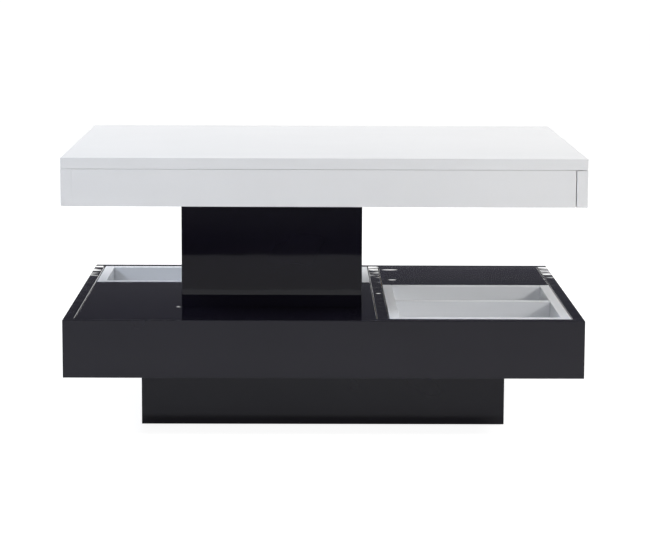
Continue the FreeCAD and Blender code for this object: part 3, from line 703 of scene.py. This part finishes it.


def cloth(name, near_hex, far_hex, axis="Z", near=0.0, far=1.0, strength=1.0):
    """A glowing sheet whose set shade, fading from near to far, is painted into the gloss's
    reflections.
    """
    material, tree, coords = new_material(name)
    place = add_node(tree, "ShaderNodeSeparateXYZ", {"Vector": coords}).outputs[axis]
    wobbles = noise(tree, coords, grain_mm=700)
    wobbled = add_node(tree, "ShaderNodeMath", {
        0: wobbles, 1: WOBBLE, 2: place}, operation="MULTIPLY_ADD")
    fade = add_node(tree, "ShaderNodeMapRange", {
        "Value": wobbled.outputs[0], "From Min": near + WOBBLE / 2, "From Max": far + WOBBLE / 2})
    shade = add_node(tree, "ShaderNodeMix", {
        "Factor": fade.outputs[0], "A": linear(near_hex), "B": linear(far_hex)}, data_type="RGBA")
    glow = add_node(tree, "ShaderNodeEmission", {
        "Color": shade.outputs["Result"], "Strength": strength})
    add_node(tree, "ShaderNodeOutputMaterial", {"Surface": glow.outputs[0]})
    return material


def seen_in_gloss_only(thing):
    """Hides a piece of the studio from all rays but mirrored ones."""
    for kind in ("camera", "diffuse", "transmission", "volume_scatter", "shadow"):
        setattr(thing, f"visible_{kind}", False)


print("folds shift a cloth's fading by", WOBBLE / MM, "mm")

# %% Ring of cloth
RING_RADIUS = 9.0    # m
RING_LOW = 1.38      # m above the floor
RING_HIGH = 9.0
RING_FADE = 0.35     # m over which the ring's painted shade darkens above its lower edge
RING_SIDES = 48

# The ring glows with a set shade, darker above its lower edge: a painted reflection in the gloss.
painted_ring_reflection = cloth("dark_ring_painted_reflection", "#55555C", "#404047", "Z", RING_LOW, RING_LOW + RING_FADE)
ring = bmesh.new()
bmesh.ops.create_cone(ring, cap_ends=False, segments=RING_SIDES, radius1=RING_RADIUS,
                      radius2=RING_RADIUS, depth=RING_HIGH - RING_LOW,
                      matrix=Matrix.Translation((0, 0, (RING_LOW + RING_HIGH) / 2)))
ring_mesh = bpy.data.meshes.new("cloth_ring")
ring.to_mesh(ring_mesh)
ring.free()
ring_mesh.materials.append(painted_ring_reflection)
cloth_ring = add_object("cloth_ring", ring_mesh)
seen_in_gloss_only(cloth_ring)
print("cloth ring hangs from", RING_LOW, "to", RING_HIGH, "m")

# %% Glowing sheets on the floor and a glowing strip at the back
MAT_SIDE = 6.0       # m to the left and right
MAT_LIFT = 0.001     # m above the paper
MAT_START = -1.57    # m, where the grey mat begins in front of the table
MAT_SEAM = -2.12     # where the grey mat ends and the black one begins
BLACK_FADE = (-2.45, -2.95)    # from the first to the second the black mat's painted shade grows lighter
STRIP_SIDE = 3.5     # m to the left and right
STRIP_LOW = 0.3      # m above the floor
STRIP_HIGH = 1.3
STRIP_BACK = 8.9     # m behind the table's middle

# The mats glow with set shades, a light grey band and then a black one that grows lighter further
# out: painted reflections in the black gloss.
painted_grey_mat_reflection = cloth("grey_mat_painted_reflection", "#CACACC", "#C6C6C9", "Y", MAT_START, MAT_SEAM)
painted_black_mat_reflection = cloth("black_mat_painted_reflection", "#3A3A3F", "#6A6A70", "Y", *BLACK_FADE)
# The strip is a glowing sheet that lights nothing: the lines and glints it draws on the gloss are
# painted highlights.
strip_painted_highlight = cloth("strip_painted_highlight", "#FFFFFF", "#F4F4F4", strength=2.8)
grey_mat = stage_sheet("grey_mat", painted_grey_mat_reflection, (-MAT_SIDE, MAT_SEAM, MAT_LIFT),
                       (MAT_SIDE, MAT_START, MAT_LIFT))
black_mat = stage_sheet("black_mat", painted_black_mat_reflection, (-MAT_SIDE, -RING_RADIUS, MAT_LIFT),
                        (MAT_SIDE, MAT_SEAM, MAT_LIFT))
back_strip = stage_sheet("back_strip", strip_painted_highlight, (-STRIP_SIDE, STRIP_BACK, STRIP_LOW),
                         (STRIP_SIDE, STRIP_BACK, STRIP_HIGH))
for sheet in (grey_mat, black_mat, back_strip):
    seen_in_gloss_only(sheet)
print("grey mat lies from", MAT_START, "to", MAT_SEAM, "m, and the black one from there on")

# %% [markdown]
# ## Light
# A plain white room gives some scattered light from everywhere. The camera and reflections see the
# room as pure white, but as a light it is much weaker. Two small lamps stand left and right of the
# table and a bit in front of it, about 30 degrees up: their light reaches in under the top and
# draws the slanting shadows of the tray walls. The left lamp is a touch cooler than the right one,
# as daylight beside lamplight is. A large lamp hangs high behind the table: it lights the top and
# the rims of the trays, and lets the table's soft shadow fall towards the camera, which the plinth
# then mirrors. A weaker large lamp at the camera fills the fronts. The two large ones aren't
# mirrored, so they leave no spots on the gloss.

# %% White room
ROOM_LIGHT = 0.34    # of plain white

world = bpy.data.worlds.new("white_room")
bpy.context.scene.world = world
world.use_nodes = True
room = world.node_tree
room.nodes.clear()
ray = add_node(room, "ShaderNodeLightPath").outputs
seen_or_mirrored = add_node(room, "ShaderNodeMath", {
    0: ray["Is Camera Ray"], 1: ray["Is Glossy Ray"]}, operation="MAXIMUM")
shown = add_node(room, "ShaderNodeMath", {
    0: seen_or_mirrored.outputs[0], 1: ray["Is Transmission Ray"]}, operation="MAXIMUM")
room_strength = add_node(room, "ShaderNodeMix", {
    "Factor": shown.outputs[0], "A": ROOM_LIGHT, "B": 1.0}, data_type="FLOAT")
background = add_node(room, "ShaderNodeBackground", {
    "Color": (1, 1, 1, 1), "Strength": room_strength.outputs["Result"]})
add_node(room, "ShaderNodeOutputWorld", {"Surface": background.outputs[0]})
print("the room gives", ROOM_LIGHT, "of plain white")

# %% Lamps
TABLE_MIDDLE = Vector((0, 0, 0.25))    # m, a little above half the table's height


def soft_lamp(name, place, side, watts, tint, mirrored=True):
    """A square lamp that looks at the table's middle."""
    lamp = bpy.data.lights.new(name, "AREA")
    lamp.size = side
    lamp.energy = watts
    lamp.color = linear(tint)[:3]
    holder = add_object(name, lamp)
    holder.location = place
    holder.rotation_mode = "QUATERNION"
    holder.rotation_quaternion = (TABLE_MIDDLE - Vector(place)).to_track_quat("-Z", "Y")
    holder.visible_glossy = mirrored


soft_lamp("lamp_left", (-2.19, -0.88, 1.70), side=0.35, watts=29, tint="#E2EDFF")
soft_lamp("lamp_right", (2.32, -0.94, 1.48), side=0.35, watts=33, tint="#FFFCF7")
soft_lamp("lamp_behind", (0, 2.1, 2.95), side=1.6, watts=70, tint="#FFFFFF", mirrored=False)
soft_lamp("lamp_front", (0, -3.6, 1.4), side=1.2, watts=11, tint="#F6F8FF", mirrored=False)

# %% [markdown]
# ## Camera
# The camera stands 3.85 m in front of the table's middle and 0.78 m up, a little to the left, and
# looks down by 8.4 degrees through a long lens, which keeps the box shapes calm.

# %% Camera
IMAGE_WIDTH = 650        # pixels
FOCAL_PIXELS = 2352.5    # the lens's focal length, in pixels of the image
SENSOR_WIDTH = 36        # mm
CAMERA_PLACE = (-0.0313, -3.8461, 0.7791)
PITCH, YAW, ROLL = (math.radians(angle) for angle in (8.375, -0.527, 0.231))

lens = bpy.data.cameras.new("long_lens")
lens.sensor_width = SENSOR_WIDTH
lens.lens = FOCAL_PIXELS / IMAGE_WIDTH * SENSOR_WIDTH
lens.clip_end = 100
camera = add_object("camera", lens)
camera.location = CAMERA_PLACE
camera.rotation_mode = "QUATERNION"
turn = (Matrix.Rotation(YAW, 3, "Z") @ Matrix.Rotation(math.pi / 2 - PITCH, 3, "X")
        @ Matrix.Rotation(ROLL, 3, "Z"))
camera.rotation_quaternion = turn.to_quaternion()
bpy.context.scene.camera = camera
bpy.context.scene.view_settings.view_transform = "Standard"
print("lens is", round(lens.lens, 1), "mm")
